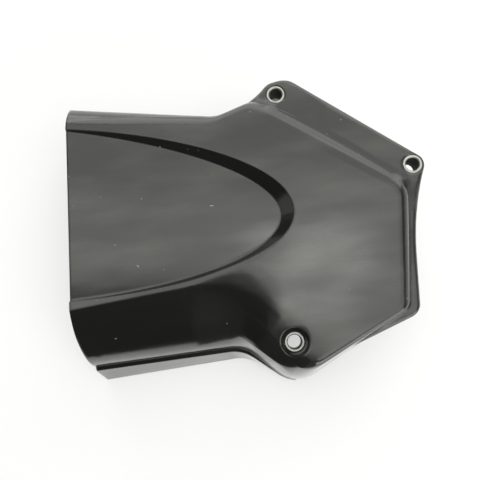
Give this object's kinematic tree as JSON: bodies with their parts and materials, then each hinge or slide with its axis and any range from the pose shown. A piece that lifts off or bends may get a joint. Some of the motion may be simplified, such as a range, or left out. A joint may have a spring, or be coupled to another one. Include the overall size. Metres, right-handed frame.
{
  "type": "sprocket cover",
  "caption": "Moulded cover for a motorbike's front sprocket: domed hood with a recessed panel, open chain tunnel at the rear, bolting flange with tabs and metal collars in its bolt holes.",
  "frame": {"origin": "under the middle of the cover's bounding box, on the plane of the tunnel's rim", "axes": "X runs from the open rear end to the front, Z points out of the covered side, Y completes a right-handed frame"},
  "size_m": [0.176, 0.1536, 0.0512],
  "materials": {
    "moulding": "satin",
    "collar": "satin"
  },
  "bodies": {
    "root": {"cover_shell": "moulding", "upper_collar": "collar", "front_collar": "collar", "lower_collar": "collar"}
  },
  "joints": []
}
